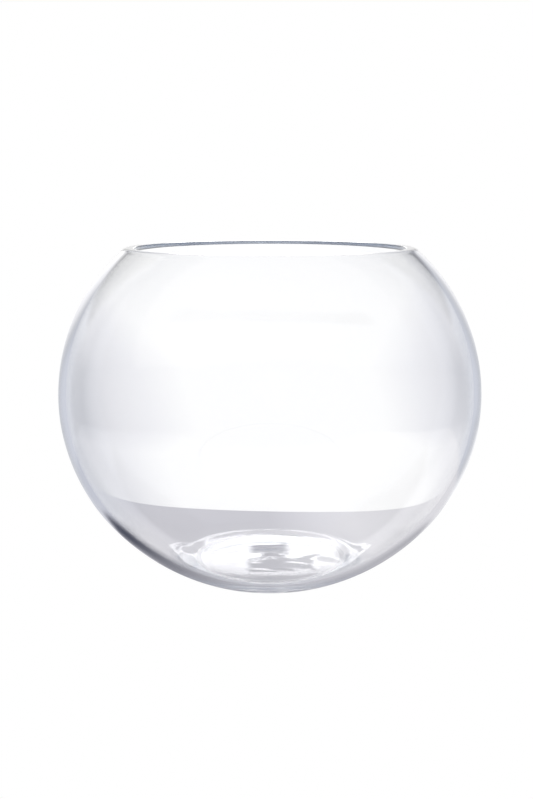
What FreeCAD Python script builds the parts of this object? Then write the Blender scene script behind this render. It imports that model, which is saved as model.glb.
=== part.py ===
import FreeCAD, Part
import math
import os

import Sketcher

# A rose bowl: a squat, nearly round vase of clear blown glass whose shoulder
# draws in to a wide, plain mouth. It is one piece of glass. The origin is the
# centre of the base, level with the table, and +Z runs up the bowl's axis.

# Driving dimensions in millimetres. Radii and heights are of the outside
# unless the name says otherwise.
SIZES = {
    "bowl_height": 199.3,        # table to the rim
    "belly_height": 110.6,       # table to the widest girth
    "belly_radius": 127.0,       # at the widest girth
    "mouth_radius": 86.5,        # at the rim
    "rim_width": 6.6,            # flat, polished ring that the slanting wall is cut to
    "wall": 4.3,                 # thickness from the belly down to the heel
    "floor_height": 9.0,         # table to the inside floor
    "heel_curve": 30.0,          # profile radius where the floor turns up
    "foot_radius": 47.3,         # outer edge of the ring that meets the table
    "foot_ring_width": 3.0,      # flat, ground width of that ring
    "kick_height": 2.2,          # rise of the hollow under the base
    "foot_round": 1.2,           # softened outer edge of the foot
    "rim_round": 0.8,            # softened edges of the rim
    "overrun": 6.0,              # how far the cutting profiles pass the glass
    "bottom_turn_share": 0.55,   # of the quarter turn up to the belly, what the bottom's
}                                # curve makes before the side's takes over

TOLERANCE = 1e-4                 # for finding an edge by its height


def make_sheet(doc):
    sheet = doc.addObject("Spreadsheet::Sheet", "sizes")
    for row, (name, value) in enumerate(SIZES.items(), start=1):
        sheet.set("A%d" % row, name)
        sheet.set("B%d" % row, str(value))
        sheet.setAlias("B%d" % row, name)
    doc.recompute()
    return sheet


def profile_sketch(body, name):
    """A sketch on the body's XZ plane: x is the radius and y the height."""
    planes = {plane.Role: plane for plane in body.Origin.OriginFeatures}
    sketch = body.newObject("Sketcher::SketchObject", name)
    sketch.AttachmentSupport = (planes["XZ_Plane"], "")
    sketch.MapMode = "FlatFace"
    return sketch


def add_line(sketch, first, last):
    return sketch.addGeometry(Part.LineSegment(place(first), place(last)))


def add_arc(sketch, middle, radius, first_angle, last_angle):
    circle = Part.Circle(place(middle), FreeCAD.Vector(0, 0, 1), radius)
    return sketch.addGeometry(Part.ArcOfCircle(circle, first_angle, last_angle))


def place(radius_and_height):
    return FreeCAD.Vector(*radius_and_height, 0)


# The sketcher counts a curve's start as 1, its end as 2 and its centre as 3.
# The sketch's own origin is the start of curve -1, and its upright axis is curve -2.

def start(curve):
    return curve, 1


def end(curve):
    return curve, 2


def centre(curve):
    return curve, 3


def origin():
    return start(-1)


def upright_axis():
    return -2


def tie(sketch, kind, *places):
    """A relation between whole curves, or between points of them given as pairs."""
    numbers = []
    for item in places:
        numbers.extend(item if isinstance(item, tuple) else (item,))
    return sketch.addConstraint(Sketcher.Constraint(kind, *numbers))


def size(sketch, name, kind, places, value, formula):
    """A named dimension that follows the sheet."""
    index = tie(sketch, kind, *places, value)
    sketch.renameConstraint(index, name)
    sketch.setExpression("Constraints." + name, formula)


def measure(sketch, name, kind, places, value):
    """A named dimension that other sketches read and that drives nothing here."""
    index = tie(sketch, kind, *places, value)
    sketch.setDriving(index, False)
    sketch.renameConstraint(index, name)


def shoulder_arc(belly_radius, mouth_radius):
    """Offset from the axis, radius and turn of an arc that leaves the belly upright."""
    rise = SIZES["bowl_height"] - SIZES["belly_height"]
    drawn_in = belly_radius - mouth_radius
    offset = (belly_radius ** 2 - mouth_radius ** 2 - rise ** 2) / (2 * drawn_in)
    return offset, belly_radius - offset, math.atan2(rise, mouth_radius - offset)


def body_arcs():
    """Centre height and radius of the bottom's arc, and offset and radius of the
    side's, which meet smoothly at the bottom's turn."""
    s = SIZES
    turn = s["bottom_turn_share"] * math.pi / 2
    upright, level = math.cos(turn), 1 - math.sin(turn)
    a = upright ** 2 - level ** 2
    b = 2 * (s["belly_height"] * upright - s["belly_radius"] * level)
    c = s["belly_height"] ** 2 + s["foot_radius"] ** 2 - s["belly_radius"] ** 2
    excess = (math.sqrt(b * b - 4 * a * c) - b) / (2 * a)
    bottom_height = s["belly_height"] + excess * upright
    bottom_radius = s["belly_radius"] + excess * level
    side_offset = excess * math.sin(turn)
    return bottom_height, bottom_radius, side_offset, s["belly_radius"] - side_offset


def draw_wall(sketch, inset, mouth_radius, first_angle):
    """Bottom, side and shoulder arcs, set in from the outside by a thickness, with
    the relations that hold for both faces of the wall. Returns the three arcs."""
    s = SIZES
    belly, girth = s["belly_height"], s["belly_radius"] - inset
    bottom_height, bottom_radius, side_offset, side_radius = body_arcs()
    shoulder_offset, shoulder_radius, shoulder_turn = shoulder_arc(girth, mouth_radius)
    join_angle = (s["bottom_turn_share"] - 1) * math.pi / 2
    join = ((bottom_radius - inset) * math.cos(join_angle),
            (bottom_radius - inset) * math.sin(join_angle) + bottom_height)

    bottom = add_arc(sketch, (0, bottom_height), bottom_radius - inset, first_angle, join_angle)
    side = add_arc(sketch, (side_offset, belly), side_radius - inset, join_angle, 0)
    shoulder = add_arc(sketch, (shoulder_offset, belly), shoulder_radius, 0, shoulder_turn)
    spoke = add_line(sketch, (0, bottom_height), join)
    sketch.setConstruction(spoke, True)

    tie(sketch, "PointOnObject", centre(bottom), upright_axis())
    tie(sketch, "Tangent", end(bottom), start(side))
    tie(sketch, "Tangent", end(side), start(shoulder))
    tie(sketch, "Coincident", start(spoke), centre(bottom))
    tie(sketch, "Coincident", end(spoke), end(bottom))
    size(sketch, "join_angle", "Angle", (spoke,), join_angle,
         "(<<sizes>>.bottom_turn_share - 1) * 90 deg")
    size(sketch, "side_height", "DistanceY", (origin(), centre(side)), belly,
         "<<sizes>>.belly_height")
    size(sketch, "shoulder_height", "DistanceY", (origin(), centre(shoulder)), belly,
         "<<sizes>>.belly_height")
    size(sketch, "rim_height", "DistanceY", (origin(), end(shoulder)), s["bowl_height"],
         "<<sizes>>.bowl_height")
    return bottom, side, shoulder


def draw_outside(body):
    """Half of the outside: base, the wall's outer arcs and the plane of the rim."""
    s = SIZES
    bottom_height, _, _, _ = body_arcs()
    foot_angle = math.atan2(-bottom_height, s["foot_radius"])

    sketch = profile_sketch(body, "outside")
    bottom, side, shoulder = draw_wall(sketch, 0, s["mouth_radius"], foot_angle)
    base = add_line(sketch, (0, 0), (s["foot_radius"], 0))
    rim = add_line(sketch, (s["mouth_radius"], s["bowl_height"]), (0, s["bowl_height"]))
    axis = add_line(sketch, (0, s["bowl_height"]), (0, 0))

    tie(sketch, "Coincident", start(base), origin())
    tie(sketch, "Horizontal", base)
    tie(sketch, "Coincident", end(base), start(bottom))
    tie(sketch, "Coincident", end(shoulder), start(rim))
    tie(sketch, "Horizontal", rim)
    tie(sketch, "Coincident", end(rim), start(axis))
    tie(sketch, "Coincident", end(axis), start(base))
    tie(sketch, "PointOnObject", start(axis), upright_axis())
    size(sketch, "foot_radius", "DistanceX", (start(base), end(base)), s["foot_radius"],
         "<<sizes>>.foot_radius")
    size(sketch, "belly_radius", "DistanceX", (origin(), end(side)), s["belly_radius"],
         "<<sizes>>.belly_radius")
    size(sketch, "mouth_radius", "DistanceX", (origin(), end(shoulder)), s["mouth_radius"],
         "<<sizes>>.mouth_radius")
    measure(sketch, "bottom_height", "DistanceY", (origin(), centre(bottom)), bottom_height)
    return sketch


def draw_inside(body):
    """Half of the hollow: floor, heel and the wall's inner arcs, open past the rim."""
    s = SIZES
    bottom_height, bottom_radius, _, _ = body_arcs()
    inner_bottom = bottom_radius - s["wall"]
    inner_mouth = s["mouth_radius"] - s["rim_width"]
    top = s["bowl_height"] + s["overrun"]
    heel_height = s["floor_height"] + s["heel_curve"]
    heel_drop = bottom_height - heel_height
    heel_radius = math.sqrt((inner_bottom - s["heel_curve"]) ** 2 - heel_drop ** 2)
    heel_angle = math.atan2(-heel_drop, heel_radius)

    sketch = profile_sketch(body, "inside")
    bottom, side, shoulder = draw_wall(sketch, s["wall"], inner_mouth, heel_angle)
    floor = add_line(sketch, (0, s["floor_height"]), (heel_radius, s["floor_height"]))
    heel = add_arc(sketch, (heel_radius, heel_height), s["heel_curve"], -math.pi / 2, heel_angle)
    throat = add_line(sketch, (inner_mouth, s["bowl_height"]), (inner_mouth, top))
    lid = add_line(sketch, (inner_mouth, top), (0, top))
    axis = add_line(sketch, (0, top), (0, s["floor_height"]))

    tie(sketch, "Horizontal", floor)
    tie(sketch, "Tangent", end(floor), start(heel))
    tie(sketch, "Tangent", end(heel), start(bottom))
    tie(sketch, "Coincident", end(shoulder), start(throat))
    tie(sketch, "Vertical", throat)
    tie(sketch, "Coincident", end(throat), start(lid))
    tie(sketch, "Horizontal", lid)
    tie(sketch, "Coincident", end(lid), start(axis))
    tie(sketch, "PointOnObject", start(axis), upright_axis())
    tie(sketch, "Coincident", end(axis), start(floor))
    tie(sketch, "PointOnObject", start(floor), upright_axis())
    size(sketch, "floor_height", "DistanceY", (origin(), start(floor)), s["floor_height"],
         "<<sizes>>.floor_height")
    size(sketch, "heel_curve", "Radius", (heel,), s["heel_curve"], "<<sizes>>.heel_curve")
    size(sketch, "bottom_height", "DistanceY", (origin(), centre(bottom)), bottom_height,
         "outside.Constraints.bottom_height")
    size(sketch, "belly_radius", "DistanceX", (origin(), end(side)),
         s["belly_radius"] - s["wall"], "<<sizes>>.belly_radius - <<sizes>>.wall")
    size(sketch, "mouth_radius", "DistanceX", (origin(), end(shoulder)), inner_mouth,
         "<<sizes>>.mouth_radius - <<sizes>>.rim_width")
    size(sketch, "past_rim", "DistanceY", (start(throat), end(throat)), s["overrun"],
         "<<sizes>>.overrun")
    return sketch


def draw_kick(body):
    """Half of the shallow hollow under the base, inside the ring that it stands on."""
    s = SIZES
    edge = s["foot_radius"] - s["foot_ring_width"]
    curve = (edge ** 2 + s["kick_height"] ** 2) / (2 * s["kick_height"])
    middle = s["kick_height"] - curve

    sketch = profile_sketch(body, "kick")
    dome = add_arc(sketch, (0, middle), curve, math.atan2(-middle, edge), math.pi / 2)
    side = add_line(sketch, (edge, 0), (edge, -s["overrun"]))
    below = add_line(sketch, (edge, -s["overrun"]), (0, -s["overrun"]))
    axis = add_line(sketch, (0, -s["overrun"]), (0, s["kick_height"]))

    tie(sketch, "PointOnObject", centre(dome), upright_axis())
    tie(sketch, "PointOnObject", end(dome), upright_axis())
    tie(sketch, "Horizontal", start(dome), origin())
    tie(sketch, "Coincident", start(dome), start(side))
    tie(sketch, "Vertical", side)
    tie(sketch, "Coincident", end(side), start(below))
    tie(sketch, "Horizontal", below)
    tie(sketch, "Coincident", end(below), start(axis))
    tie(sketch, "PointOnObject", start(axis), upright_axis())
    tie(sketch, "Coincident", end(axis), end(dome))
    size(sketch, "ring_inside", "DistanceX", (origin(), start(side)), edge,
         "<<sizes>>.foot_radius - <<sizes>>.foot_ring_width")
    size(sketch, "kick_height", "DistanceY", (origin(), end(axis)), s["kick_height"],
         "<<sizes>>.kick_height")
    size(sketch, "past_base", "DistanceY", (end(side), start(side)), s["overrun"],
         "<<sizes>>.overrun")
    return sketch


def turn_about_axis(body, kind, name, sketch):
    feature = body.newObject(kind, name)
    feature.Profile = sketch
    feature.ReferenceAxis = (sketch, ["V_Axis"])
    feature.Angle = 360
    sketch.Visibility = False
    body.Document.recompute()
    return feature


def level_edges(feature, height, least_radius):
    """Names of the level edges at one height that reach out to a radius or past it."""
    names = []
    for number, edge in enumerate(feature.Shape.Edges, start=1):
        box = edge.BoundBox
        level = abs(box.ZMin - height) < TOLERANCE and box.ZLength < TOLERANCE
        if level and box.XMax > least_radius - TOLERANCE:
            names.append("Edge%d" % number)
    return names


def round_edges(body, name, feature, edges, formula):
    fillet = body.newObject("PartDesign::Fillet", name)
    fillet.Base = (feature, edges)
    fillet.setExpression("Radius", formula)
    body.Document.recompute()
    return fillet


def make_glass_bowl(doc):
    """The whole vase: blown outside, hollow, kicked-up base, soft rim and soft foot."""
    body = doc.addObject("PartDesign::Body", "glass_bowl")
    body.Label = "glass_bowl"
    body.Placement = FreeCAD.Placement()

    blank = turn_about_axis(body, "PartDesign::Revolution", "blown_shape", draw_outside(body))
    hollow = turn_about_axis(body, "PartDesign::Groove", "hollow", draw_inside(body))
    kick = turn_about_axis(body, "PartDesign::Groove", "kick_up", draw_kick(body))
    if not blank.Shape.Volume > hollow.Shape.Volume > kick.Shape.Volume:
        raise RuntimeError("a groove cut nothing from the glass")

    rim_edges = level_edges(kick, SIZES["bowl_height"], 0)
    rim = round_edges(body, "soft_rim", kick, rim_edges, "<<sizes>>.rim_round")
    foot_edge = level_edges(rim, 0, SIZES["foot_radius"])
    round_edges(body, "soft_foot", rim, foot_edge, "<<sizes>>.foot_round")
    return body


def check(doc, bodies):
    for item in doc.Objects:
        if "Invalid" in item.State or "Error" in item.State:
            raise RuntimeError("%s could not be built: %s" % (item.Name, item.State))
    for body in bodies:
        if body.Shape.isNull() or not body.Shape.isValid():
            raise RuntimeError("%s has no valid shape" % body.Label)


def main():
    os.makedirs("parts", exist_ok=True)
    doc = FreeCAD.newDocument("rose_bowl")
    make_sheet(doc)
    bodies = [make_glass_bowl(doc)]
    doc.recompute()
    check(doc, bodies)
    for body in bodies:
        body.Shape.exportStep("parts/%s.step" % body.Label)
        box = body.Shape.BoundBox
        print("%s: %.1f x %.1f x %.1f mm, %.0f cm3 of glass, %d solid"
              % (body.Label, box.XLength, box.YLength, box.ZLength,
                 body.Shape.Volume / 1000, len(body.Shape.Solids)))


main()
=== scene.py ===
import math

import bmesh
import bpy
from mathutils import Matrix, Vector, noise


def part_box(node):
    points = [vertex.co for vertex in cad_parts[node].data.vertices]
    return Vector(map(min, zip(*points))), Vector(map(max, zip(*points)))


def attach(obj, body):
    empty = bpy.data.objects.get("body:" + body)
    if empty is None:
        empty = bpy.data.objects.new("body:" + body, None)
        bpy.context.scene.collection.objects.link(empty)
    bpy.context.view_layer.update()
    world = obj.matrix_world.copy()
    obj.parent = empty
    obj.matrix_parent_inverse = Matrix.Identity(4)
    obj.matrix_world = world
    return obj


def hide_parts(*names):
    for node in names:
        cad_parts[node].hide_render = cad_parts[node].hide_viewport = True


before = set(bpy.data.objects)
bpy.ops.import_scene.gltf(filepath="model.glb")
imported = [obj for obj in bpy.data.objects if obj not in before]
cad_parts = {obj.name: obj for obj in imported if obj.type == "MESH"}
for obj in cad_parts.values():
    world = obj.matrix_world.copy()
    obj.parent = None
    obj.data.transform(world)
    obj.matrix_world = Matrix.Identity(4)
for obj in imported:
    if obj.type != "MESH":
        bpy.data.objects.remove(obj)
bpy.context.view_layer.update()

# A rose bowl blown from one gather of clear soda-lime glass, with a flat rim that is
# cut and polished and a thick base that stands on a narrow ground ring.
# Lengths are in metres and angles in radians. The base's centre is the origin.
MM = 0.001

# The bowl's height and girth come from the frame, its other sizes are its own.
_, HIGH_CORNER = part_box("glass_bowl")
BOWL_HEIGHT = HIGH_CORNER.z
BELLY_RADIUS = HIGH_CORNER.x
BELLY_HEIGHT = 110.6 * MM
MOUTH_RADIUS = 86.5 * MM
RIM_WIDTH = 6.6 * MM
WALL = 4.3 * MM
FLOOR_HEIGHT = 9.0 * MM
HEEL_CURVE = 30.0 * MM
FOOT_RADIUS = 47.3 * MM
FOOT_RING_WIDTH = 3.0 * MM
KICK_HEIGHT = 2.2 * MM
FOOT_EDGE = 0.5 * MM              # how far the softened edges reach along each face
RIM_OUTER_EDGE = 1.2 * MM
RIM_INNER_EDGE = 1.6 * MM
BOTTOM_TURN_SHARE = 0.55          # of the quarter turn up to the belly, the bottom curve's part

# How finely the profile is divided, and the turn.
TURN_STEPS = 256
WALL_STEPS = 36
HEEL_STEPS = 14
FLOOR_STEPS = 64
RING_STEPS = 3
EDGE_STEPS = 5
WELD = 0.01 * MM
ON_LEVEL = 0.05 * MM              # what still counts as the same height or radius

# The uneven base of a hand-blown bowl. Where the floor was pressed it leans a little, fine
# streaks cross it, and the glass round it lies in faint rings. Each pressed place has its
# middle, its slope, and how far it reaches from front to back and to each side.
PRESSED_PLACES = (
    ((35 * MM, -13 * MM), 0.042, 14 * MM, 9 * MM),
    ((-54 * MM, 6 * MM), -0.070, 24 * MM, 8 * MM),
)
PRESSED_SKEW = -0.2               # how far a pressed place drifts to the side, going back
STREAK_RISE = 0.03 * MM
STREAK_SPACING, STREAK_LENGTH = 11 * MM, 25 * MM
STREAKS_FULL, STREAKS_END = 30 * MM, 44 * MM
RING_RISE = 0.012 * MM
RING_SPACING, RINGS_ROUND = 6 * MM, 1.6
RINGS_FULL, RINGS_END = 54 * MM, 70 * MM
FLOOR_FULL, FLOOR_END = 52 * MM, 64 * MM
# The hollow under the base is wavy too, less so towards the ring.
KICK_WAVE = 0.10 * MM
KICK_WAVE_SPACING = 20 * MM
KICK_WAVE_FULL = 36 * MM
STREAKS_LEVEL, KICK_LEVEL = 9.1, 3.7   # where each is cut from the noise, so that they differ
OCTAVES = 3

# The skin's long ripples, and the grit that ground the ring, drawn coarse enough to show.
RIPPLE_SPACING, RIPPLE_RISE = 45.45 * MM, 0.02 * MM
GRIT_SPACING, GRIT_RISE = 0.4 * MM, 0.03 * MM

# The camera stands this far from the middle of the belly and looks down a little.
CAMERA_DISTANCE = 0.76
CAMERA_PITCH = math.radians(9.69)
PICTURE_WIDTH, PICTURE_HEIGHT = 533, 799
BELLY_CENTRE_PIXEL = (269.9, 393.7)
PIXEL_AT_BELLY = 0.6085 * MM
SENSOR = 36.0

# The studio: a table that glows with painted light, whose back edge lies close behind the bowl, and
# a bright wall with a short lamp strip on it, which the bowl's floor mirrors. Above the strip it is
# dim.
TABLE_DROP = 0.2 * MM
TABLE_BACK = 0.122
TABLE_SKEW = -0.078
TABLE_FRONT = -0.42
TABLE_HALF = 0.50
# Painted light on the glowing table: greyer on the left and lighter to the right.
TABLE_PAINTED_LIGHT_ENDS = (-0.16, 0.12)   # from left to right
TABLE_PAINTED_LIGHT_TINTS = ((0, "#c4c7d2"), (0.25, "#d1d0d7"), (0.46, "#cfced5"), (0.57, "#cfced5"),
               (0.70, "#e1e0e6"), (0.79, "#e7e6eb"), (1, "#dddce1"))
# A dark ring drawn on the table stands for the shade of the clear bowl. It is deepest on the
# left, fades out beside the bowl, and takes a little more red than blue away.
SHADE_MIDDLE = (-0.006, 0.063)
SHADE_SQUEEZE = 0.9               # below 1, so that the ring is wider than it is deep
SHADE_INNER, SHADE_OUTER = (0.081, 0.096), (0.113, 0.130)
SHADE_BACK = (0.030, 0.062)
SHADE_SIDES, SHADE_DEPTHS = (-0.115, -0.02), (0.90, 0.42)
SHADE_COLOURS = (-1.0, -0.99, -0.95)
WALL_BACK = 0.9
WALL_LOW, WALL_HIGH = -0.8, 1.5
WALL_HALF = 1.2
WALL_LIGHT = 1.10
WALL_MIDDLE = 0.008               # where its brightest part lies at the bowl's foot
WALL_LEAN = 0.28                  # and how far that moves to the left, going up
# Painted shade on the wall: white in the middle, falling into blue-grey on both sides.
WALL_FADE = (0.14, 0.66)
WALL_TINTS = ((0, "#ffffff"), (0.14, "#f1f1f4"), (0.28, "#e5e5e9"), (0.43, "#cccdd2"),
              (0.56, "#b8bac1"), (0.75, "#bbbec7"), (1, "#c6c9d3"))
# Between two heights its bright part widens on both sides, upwards and downwards.
WALL_WIDENS = (((0.0, 0.20), 0.16), ((-0.10, -0.14), 0.07))
WALL_TOP, WALL_TOP_LIGHT = (0.38, 0.46), 0.40
STRIP_LIGHT = 2.8
STRIP_LOW = (0.226, 0.216)
STRIP_HIGH = (0.36, 0.38)
STRIP_FADE = (0.12, 0.14)
# Three dark cards over the strip, which the floor mirrors as one patch with a narrow neck.
# Each has its middle, its reach to each side, and the heights where it begins and ends.
DARK_CARDS = ((-0.002, 0.022, (0.256, 0.266), (0.282, 0.290)),
              (0.006, 0.014, (0.278, 0.286), (0.306, 0.314)),
              (0.024, 0.052, (0.300, 0.310), (0.336, 0.348)))
CARD_EDGE = 0.018                 # over which a card's sides fade out
LIGHT_BOUNCES = 64                # light runs a long way inside the wall, from rim to foot


def linear(hex_colour):
    """An sRGB hex colour as the linear RGBA that the shaders take."""
    channels = [int(hex_colour[i:i + 2], 16) / 255 for i in (1, 3, 5)]
    return [c / 12.92 if c <= 0.04045 else ((c + 0.055) / 1.055) ** 2.4 for c in channels] + [1.0]


def add_node(tree, kind, settings=None, links=None):
    """A node with its settings, sockets by name or place or else properties, and what feeds
    its sockets."""
    node = tree.nodes.new(kind)
    for name, value in (settings or {}).items():
        if isinstance(name, int) or name in node.inputs:
            node.inputs[name].default_value = value
        else:
            setattr(node, name, value)
    for socket, source in (links or {}).items():
        tree.links.new(source, node.inputs[socket])
    return node


def new_material(name):
    """A material with an empty tree and its output."""
    material = bpy.data.materials.new(name)
    material.use_nodes = True
    material.node_tree.nodes.clear()
    return material, material.node_tree, add_node(material.node_tree, "ShaderNodeOutputMaterial")


def clear_soda_lime_glass():
    """Blown soda-lime glass with a fire-polished skin: colourless in the thin wall, faintly
    blue-grey where the eye looks along it, and clean mirror-like reflections."""
    material, tree, output = new_material("clear_soda_lime_glass")
    place = add_node(tree, "ShaderNodeTexCoord").outputs["Object"]
    ripple = add_node(tree, "ShaderNodeTexNoise", {"Scale": 1 / RIPPLE_SPACING, "Detail": 1.0},
                      {"Vector": place})
    bump = add_node(tree, "ShaderNodeBump", {"Strength": 1.0, "Distance": RIPPLE_RISE},
                    {"Height": ripple.outputs["Fac"]})
    glass = add_node(tree, "ShaderNodeBsdfPrincipled",
                     {"Base Color": linear("#ffffff"), "Roughness": 0.0, "IOR": 1.52,
                      "Transmission Weight": 1.0}, {"Normal": bump.outputs["Normal"]})
    tint = add_node(tree, "ShaderNodeVolumeAbsorption", {"Color": linear("#f3f6f9"), "Density": 8.0})
    tree.links.new(glass.outputs["BSDF"], output.inputs["Surface"])
    tree.links.new(tint.outputs["Volume"], output.inputs["Volume"])
    return material


def ground_glass():
    """The ring that the bowl stands on, ground flat with fine grit: a dull, frosted white."""
    material, tree, output = new_material("ground_glass")
    place = add_node(tree, "ShaderNodeTexCoord").outputs["Object"]
    grit = add_node(tree, "ShaderNodeTexNoise", {"Scale": 1 / GRIT_SPACING, "Detail": 2.0},
                    {"Vector": place})
    bump = add_node(tree, "ShaderNodeBump", {"Strength": 0.6, "Distance": GRIT_RISE},
                    {"Height": grit.outputs["Fac"]})
    glass = add_node(tree, "ShaderNodeBsdfPrincipled",
                     {"Base Color": linear("#f4f6f7"), "Roughness": 0.42, "IOR": 1.52,
                      "Transmission Weight": 1.0}, {"Normal": bump.outputs["Normal"]})
    tree.links.new(glass.outputs["BSDF"], output.inputs["Surface"])
    return material


def shoulder_arc(belly_radius, mouth_radius):
    """Offset from the axis and turn of an arc that leaves the belly upright."""
    rise = BOWL_HEIGHT - BELLY_HEIGHT
    offset = ((belly_radius ** 2 - mouth_radius ** 2 - rise ** 2)
              / (2 * (belly_radius - mouth_radius)))
    return offset, math.atan2(rise, mouth_radius - offset)


def body_arcs():
    """Centre height and radius of the bottom's arc, and offset of the side's, which meet
    smoothly at the bottom's turn."""
    turn = BOTTOM_TURN_SHARE * math.pi / 2
    upright, level = math.cos(turn), 1 - math.sin(turn)
    a = upright ** 2 - level ** 2
    b = 2 * (BELLY_HEIGHT * upright - BELLY_RADIUS * level)
    c = BELLY_HEIGHT ** 2 + FOOT_RADIUS ** 2 - BELLY_RADIUS ** 2
    excess = (math.sqrt(b * b - 4 * a * c) - b) / (2 * a)
    return BELLY_HEIGHT + excess * upright, BELLY_RADIUS + excess * level, excess * math.sin(turn)


def carry_round(bm, vert, centre, turn, steps):
    """Carries the profile on from a vertex along an arc about a centre of radius and height.
    A positive turn is anticlockwise with the radius to the right and the height up."""
    done = bmesh.ops.spin(bm, geom=[vert], cent=(centre[0], 0, centre[1]), axis=(0, -1, 0),
                          dvec=(0, 0, 0), angle=turn, steps=steps, use_merge=False,
                          use_duplicate=False)
    return [item for item in done["geom_last"] if isinstance(item, bmesh.types.BMVert)][0]


def carry_straight(bm, vert, target, steps):
    """Carries the profile on from a vertex in a straight line to a radius and height."""
    step = (Vector((target[0], 0, target[1])) - vert.co) / steps
    for _ in range(steps):
        vert = bmesh.ops.extrude_vert_indiv(bm, verts=[vert])["verts"][0]
        vert.co += step
    return vert


def draw_profile(bm):
    """Half of the bowl's section, from the middle of the underside round to the inside floor."""
    ring_inside = FOOT_RADIUS - FOOT_RING_WIDTH
    kick_radius = (ring_inside ** 2 + KICK_HEIGHT ** 2) / (2 * KICK_HEIGHT)
    bottom_height, bottom_radius, side_offset = body_arcs()
    join_angle = (BOTTOM_TURN_SHARE - 1) * math.pi / 2
    foot_angle = math.atan2(-bottom_height, FOOT_RADIUS)
    shoulder_offset, shoulder_turn = shoulder_arc(BELLY_RADIUS, MOUTH_RADIUS)
    inner_mouth = MOUTH_RADIUS - RIM_WIDTH
    inner_offset, inner_turn = shoulder_arc(BELLY_RADIUS - WALL, inner_mouth)
    heel_height = FLOOR_HEIGHT + HEEL_CURVE
    heel_drop = bottom_height - heel_height
    heel_radius = math.sqrt((bottom_radius - WALL - HEEL_CURVE) ** 2 - heel_drop ** 2)
    heel_angle = math.atan2(-heel_drop, heel_radius)

    tip = bmesh.ops.create_vert(bm, co=(0, 0, KICK_HEIGHT))["vert"][0]
    tip = carry_round(bm, tip, (0, KICK_HEIGHT - kick_radius),
                      -math.asin(ring_inside / kick_radius), FLOOR_STEPS)
    tip = carry_straight(bm, tip, (FOOT_RADIUS, 0), RING_STEPS)
    tip = carry_round(bm, tip, (0, bottom_height), join_angle - foot_angle, WALL_STEPS)
    tip = carry_round(bm, tip, (side_offset, BELLY_HEIGHT), -join_angle, WALL_STEPS)
    tip = carry_round(bm, tip, (shoulder_offset, BELLY_HEIGHT), shoulder_turn, WALL_STEPS)
    tip = carry_straight(bm, tip, (inner_mouth, BOWL_HEIGHT), RING_STEPS)
    tip = carry_round(bm, tip, (inner_offset, BELLY_HEIGHT), -inner_turn, WALL_STEPS)
    tip = carry_round(bm, tip, (side_offset, BELLY_HEIGHT), join_angle, WALL_STEPS)
    tip = carry_round(bm, tip, (0, bottom_height), heel_angle - join_angle, WALL_STEPS)
    tip = carry_round(bm, tip, (heel_radius, heel_height), -math.pi / 2 - heel_angle, HEEL_STEPS)
    carry_straight(bm, tip, (0, FLOOR_HEIGHT), FLOOR_STEPS)


def edges_at(bm, radius, height):
    """The ring of edges at a radius and height."""
    def there(vert):
        reach = math.hypot(vert.co.x, vert.co.y)
        return abs(reach - radius) < ON_LEVEL and abs(vert.co.z - height) < ON_LEVEL
    return [edge for edge in bm.edges if there(edge.verts[0]) and there(edge.verts[1])]


def soften(bm, radius, height, edge):
    """Rounds the ring of edges at a radius and height."""
    bmesh.ops.bevel(bm, geom=edges_at(bm, radius, height), offset=edge, offset_type="OFFSET",
                    affect="EDGES", segments=EDGE_STEPS, profile=0.5, material=-1)


def fade(distance, start, end):
    """1 up to a distance, then smoothly down to 0 at another."""
    share = min(max((end - distance) / (end - start), 0.0), 1.0)
    return share * share * (3 - 2 * share)


def wave(*place):
    """Smooth noise at a place, the same on every run."""
    return noise.fractal(Vector(place), 1.0, 2.0, OCTAVES)


def floor_rise(x, y):
    """How far the floor lies above its level at a place."""
    reach = math.hypot(x, y)
    lean = 0
    for (middle_x, middle_y), slope, depth, width in PRESSED_PLACES:
        back = y - middle_y
        aside = x - middle_x - PRESSED_SKEW * back
        lean += slope * back * math.exp(-(back / depth) ** 2 - (aside / width) ** 2)
    middle = fade(reach, STREAKS_FULL, STREAKS_END)
    streaks = STREAK_RISE * wave(x / STREAK_LENGTH, y / STREAK_SPACING, STREAKS_LEVEL) * middle
    rings = RING_RISE * wave(RINGS_ROUND * x / reach, RINGS_ROUND * y / reach,
                             reach / RING_SPACING) if reach > WELD else 0
    return (lean * fade(reach, FLOOR_FULL, FLOOR_END) + streaks
            + rings * (1 - middle) * fade(reach, RINGS_FULL, RINGS_END))


def make_uneven(bm):
    """Lifts and sinks the floor and the underside a little, as the blower's tools leave them."""
    ring_inside = FOOT_RADIUS - FOOT_RING_WIDTH
    middle_height = (FLOOR_HEIGHT + KICK_HEIGHT) / 2
    bottom_height, bottom_radius, _ = body_arcs()
    middle_radius = bottom_radius - WALL / 2
    for vert in bm.verts:
        x, y, z = vert.co
        reach = math.hypot(x, y)
        if z < middle_height and reach < ring_inside:
            bend = wave(x / KICK_WAVE_SPACING, y / KICK_WAVE_SPACING, KICK_LEVEL)
            vert.co.z += KICK_WAVE * bend * fade(reach, KICK_WAVE_FULL, ring_inside)
        elif z < bottom_height and math.hypot(reach, z - bottom_height) < middle_radius:
            vert.co.z += floor_rise(x, y)


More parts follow.
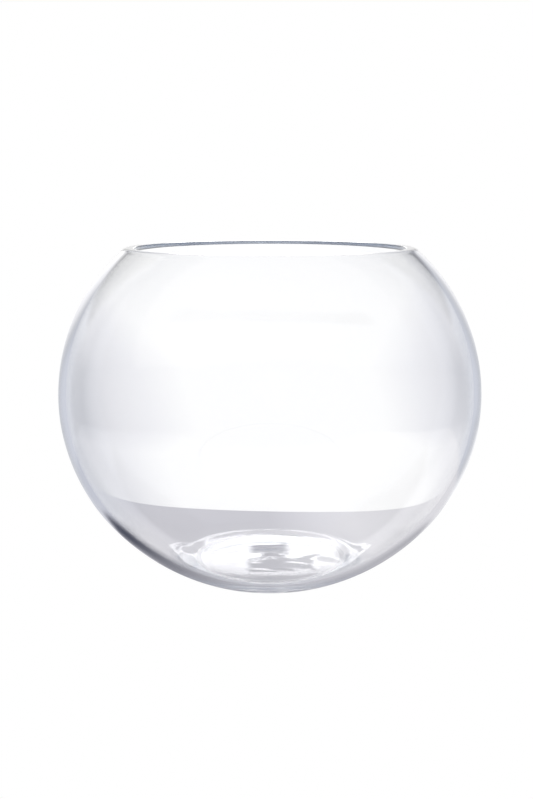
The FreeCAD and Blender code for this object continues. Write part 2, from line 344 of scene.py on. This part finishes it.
def make_blown_bowl():
    """The whole bowl, turned from its section."""
    bm = bmesh.new()
    draw_profile(bm)
    bmesh.ops.spin(bm, geom=bm.verts[:] + bm.edges[:], cent=(0, 0, 0), axis=(0, 0, 1),
                   dvec=(0, 0, 0), angle=2 * math.pi, steps=TURN_STEPS, use_merge=True,
                   use_duplicate=False)
    bmesh.ops.remove_doubles(bm, verts=bm.verts, dist=WELD)
    soften(bm, MOUTH_RADIUS, BOWL_HEIGHT, RIM_OUTER_EDGE)
    soften(bm, MOUTH_RADIUS - RIM_WIDTH, BOWL_HEIGHT, RIM_INNER_EDGE)
    soften(bm, FOOT_RADIUS, 0, FOOT_EDGE)
    soften(bm, FOOT_RADIUS - FOOT_RING_WIDTH, 0, FOOT_EDGE)
    make_uneven(bm)
    bmesh.ops.recalc_face_normals(bm, faces=bm.faces)

    for face in bm.faces:
        face.smooth = True
        face.material_index = 1 if face.calc_center_median().z < ON_LEVEL else 0
    mesh = bpy.data.meshes.new("blown_bowl")
    bm.to_mesh(mesh)
    bm.free()
    mesh.materials.append(clear_soda_lime_glass())
    mesh.materials.append(ground_glass())
    bowl = bpy.data.objects.new("blown_bowl", mesh)
    bpy.context.scene.collection.objects.link(bowl)
    return bowl


def stage_sheet(name, corners, material):
    """A flat piece of the studio that the glass shows but the camera doesn't see itself."""
    bm = bmesh.new()
    verts = [bmesh.ops.create_vert(bm, co=corner)["vert"][0] for corner in corners]
    bmesh.ops.contextual_create(bm, geom=verts)
    mesh = bpy.data.meshes.new(name)
    bm.to_mesh(mesh)
    bm.free()
    mesh.materials.append(material)
    sheet = bpy.data.objects.new(name, mesh)
    bpy.context.scene.collection.objects.link(sheet)
    sheet.visible_camera = False


def falling_light(tree, falls):
    """Strength that goes smoothly from one value to another between two places, along each
    of the coordinates that are given, all multiplied."""
    strength = None
    for coordinate, (start, end), (first, last) in falls:
        fall = add_node(tree, "ShaderNodeMapRange",
                        {"interpolation_type": "SMOOTHSTEP", "From Min": start, "From Max": end,
                         "To Min": first, "To Max": last}, {"Value": coordinate})
        if strength is None:
            strength = fall.outputs["Result"]
        else:
            both = add_node(tree, "ShaderNodeMath", {"operation": "MULTIPLY"},
                            {0: strength, 1: fall.outputs["Result"]})
            strength = both.outputs["Value"]
    return strength


def tint_along(tree, coordinate, ends, tints):
    """Colour that changes along a coordinate, through tints at shares of the way."""
    share = add_node(tree, "ShaderNodeMapRange", {"From Min": ends[0], "From Max": ends[1]},
                     {"Value": coordinate})
    ramp = add_node(tree, "ShaderNodeValToRGB", links={"Fac": share.outputs["Result"]})
    stops = ramp.color_ramp.elements
    stops[0].color = linear(tints[0][1])
    stops[1].color = linear(tints[-1][1])
    for position, tint in tints[1:-1]:
        stops.new(position).color = linear(tint)
    return ramp.outputs["Color"]


def table_top():
    """A board glowing with painted light: soft grey white, a little lighter to the right."""
    material, tree, output = new_material("table_painted_light")
    place = add_node(tree, "ShaderNodeTexCoord").outputs["Object"]
    across, back, _ = add_node(tree, "ShaderNodeSeparateXYZ", links={"Vector": place}).outputs
    from_shade = add_node(tree, "ShaderNodeMapping",
                          {"Location": (-SHADE_SQUEEZE * SHADE_MIDDLE[0], -SHADE_MIDDLE[1], 0),
                           "Scale": (SHADE_SQUEEZE, 1, 0)}, {"Vector": place})
    reach = add_node(tree, "ShaderNodeVectorMath", {"operation": "LENGTH"},
                     {0: from_shade.outputs["Vector"]}).outputs["Value"]
    shade = falling_light(tree, ((reach, SHADE_INNER, (0, 1)), (reach, SHADE_OUTER, (1, 0)),
                                 (back, SHADE_BACK, (1, 0)),
                                 (across, SHADE_SIDES, SHADE_DEPTHS)))
    light = add_node(tree, "ShaderNodeVectorMath",
                     {"operation": "MULTIPLY_ADD", 1: SHADE_COLOURS, 2: (1, 1, 1)}, {0: shade})
    lit = add_node(tree, "ShaderNodeVectorMath", {"operation": "MULTIPLY"},
                   {0: light.outputs["Vector"],
                    1: tint_along(tree, across, TABLE_PAINTED_LIGHT_ENDS, TABLE_PAINTED_LIGHT_TINTS)})
    # The board's glow is painted light and shade, in place of a lamp lighting the table.
    board = add_node(tree, "ShaderNodeEmission", links={"Color": lit.outputs["Vector"]})
    tree.links.new(board.outputs["Emission"], output.inputs["Surface"])
    right_back = TABLE_BACK + TABLE_SKEW * TABLE_HALF
    left_back = TABLE_BACK - TABLE_SKEW * TABLE_HALF
    stage_sheet("table_top", [(-TABLE_HALF, TABLE_FRONT, -TABLE_DROP),
                              (TABLE_HALF, TABLE_FRONT, -TABLE_DROP),
                              (TABLE_HALF, right_back, -TABLE_DROP),
                              (-TABLE_HALF, left_back, -TABLE_DROP)], material)


def bright_wall():
    """Overexposed white wall behind the table, which falls into blue-grey shade to both
    sides and dims above, the lamp strip on it, and the dark cards over the strip."""
    material, tree, output = new_material("lit_white_wall")
    place = add_node(tree, "ShaderNodeTexCoord").outputs["Object"]
    axes = add_node(tree, "ShaderNodeSeparateXYZ", links={"Vector": place}).outputs
    leaning = add_node(tree, "ShaderNodeVectorMath",
                       {"operation": "DOT_PRODUCT", 1: (1, 0, WALL_LEAN)}, {0: place})
    centred = add_node(tree, "ShaderNodeMath", {"operation": "SUBTRACT", 1: WALL_MIDDLE},
                       {0: leaning.outputs["Value"]})
    aside = add_node(tree, "ShaderNodeMath", {"operation": "ABSOLUTE"},
                     {0: centred.outputs["Value"]})
    shaded = aside
    for (start, end), wider in WALL_WIDENS:
        widening = add_node(tree, "ShaderNodeMapRange",
                            {"From Min": start, "From Max": end, "To Max": wider},
                            {"Value": axes["Z"]})
        shaded = add_node(tree, "ShaderNodeMath", {"operation": "SUBTRACT"},
                          {0: shaded.outputs["Value"], 1: widening.outputs["Result"]})
    across = add_node(tree, "ShaderNodeMath", {"operation": "ABSOLUTE"}, {0: axes["X"]})
    wall_light = falling_light(tree, (
        (axes["Z"], WALL_TOP, (WALL_LIGHT, WALL_LIGHT * WALL_TOP_LIGHT)),))
    wall = add_node(tree, "ShaderNodeEmission",
                    links={"Color": tint_along(tree, shaded.outputs["Value"], WALL_FADE, WALL_TINTS),
                           "Strength": wall_light})
    strip_light = falling_light(tree, (
        (axes["Z"], STRIP_LOW, (STRIP_LIGHT, 0)),
        (axes["Z"], STRIP_HIGH, (1, 0)),
        (across.outputs["Value"], STRIP_FADE, (1, 0))))
    strip = add_node(tree, "ShaderNodeEmission", {"Color": linear("#ffffff")},
                     {"Strength": strip_light})
    both = add_node(tree, "ShaderNodeAddShader",
                    links={0: wall.outputs["Emission"], 1: strip.outputs["Emission"]})
    surface = both.outputs["Shader"]
    card = add_node(tree, "ShaderNodeEmission", {"Color": linear("#5c5f68")})
    for middle, half, begins, ends in DARK_CARDS:
        offset = add_node(tree, "ShaderNodeMath", {"operation": "SUBTRACT", 1: middle},
                          {0: axes["X"]})
        distance = add_node(tree, "ShaderNodeMath", {"operation": "ABSOLUTE"},
                            {0: offset.outputs["Value"]})
        cover = falling_light(tree, ((distance.outputs["Value"], (half, half + CARD_EDGE), (1, 0)),
                                     (axes["Z"], begins, (0, 1)), (axes["Z"], ends, (1, 0))))
        carded = add_node(tree, "ShaderNodeMixShader",
                          links={"Fac": cover, 1: surface, 2: card.outputs["Emission"]})
        surface = carded.outputs["Shader"]
    tree.links.new(surface, output.inputs["Surface"])
    stage_sheet("bright_wall", [(-WALL_HALF, WALL_BACK, WALL_LOW),
                                (WALL_HALF, WALL_BACK, WALL_LOW),
                                (WALL_HALF, WALL_BACK, WALL_HIGH),
                                (-WALL_HALF, WALL_BACK, WALL_HIGH)], material)


def studio_surround():
    """White for the eye behind the bowl, and a dim blue-grey room for what the glass shows."""
    world = bpy.data.worlds.new("studio")
    world.use_nodes = True
    tree = world.node_tree
    tree.nodes.clear()
    seen = add_node(tree, "ShaderNodeBackground", {"Color": linear("#ffffff")})
    room = add_node(tree, "ShaderNodeBackground", {"Color": linear("#b4b6c0")})
    eye = add_node(tree, "ShaderNodeLightPath").outputs["Is Camera Ray"]
    mix = add_node(tree, "ShaderNodeMixShader", links={"Fac": eye})
    tree.links.new(room.outputs["Background"], mix.inputs[1])
    tree.links.new(seen.outputs["Background"], mix.inputs[2])
    output = add_node(tree, "ShaderNodeOutputWorld")
    tree.links.new(mix.outputs["Shader"], output.inputs["Surface"])
    bpy.context.scene.world = world


def place_camera():
    """The camera, which looks down at the belly's middle and frames it as the picture does."""
    data = bpy.data.cameras.new("camera")
    camera = bpy.data.objects.new("camera", data)
    bpy.context.scene.collection.objects.link(camera)
    belly = Vector((0, 0, BELLY_HEIGHT))
    away = Vector((0, -math.cos(CAMERA_PITCH), math.sin(CAMERA_PITCH)))
    camera.location = belly + away * CAMERA_DISTANCE
    camera.rotation_euler = (math.pi / 2 - CAMERA_PITCH, 0, 0)
    data.sensor_width = SENSOR
    data.lens = SENSOR * CAMERA_DISTANCE / (PICTURE_HEIGHT * PIXEL_AT_BELLY)
    data.shift_x = (PICTURE_WIDTH / 2 - BELLY_CENTRE_PIXEL[0]) / PICTURE_HEIGHT
    data.shift_y = (BELLY_CENTRE_PIXEL[1] - PICTURE_HEIGHT / 2) / PICTURE_HEIGHT
    bpy.context.scene.camera = camera


bowl = make_blown_bowl()
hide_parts("glass_bowl")
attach(bowl, "root")

table_top()
bright_wall()
studio_surround()
place_camera()
scene = bpy.context.scene
scene.view_settings.view_transform = "Standard"
scene.cycles.max_bounces = LIGHT_BOUNCES
scene.cycles.transmission_bounces = LIGHT_BOUNCES
scene.cycles.glossy_bounces = LIGHT_BOUNCES
